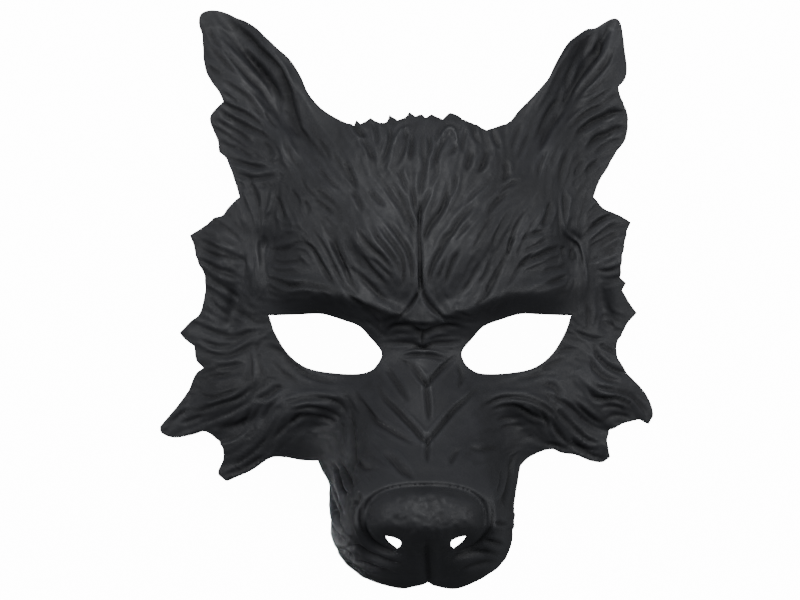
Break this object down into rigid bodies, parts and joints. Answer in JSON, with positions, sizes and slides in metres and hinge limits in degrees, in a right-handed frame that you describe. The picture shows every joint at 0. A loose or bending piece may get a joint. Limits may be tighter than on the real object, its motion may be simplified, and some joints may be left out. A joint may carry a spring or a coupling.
{
  "type": "werewolf half mask",
  "caption": "Black moulded werewolf half mask with upright ears, furrowed brow, eye holes, cheek ruff and projecting muzzle, open below for the mouth.",
  "frame": {"origin": "centre of the box's base, on the surface that the mask rests on, face up", "axes": "+X to the right as one looks at the face, +Y from the muzzle up to the ears, +Z out of the face"},
  "size_m": [0.2212, 0.2418, 0.1209],
  "materials": {
    "shell": "satin black moulding"
  },
  "bodies": {
    "root": {"mask_shell": "shell"}
  },
  "joints": []
}
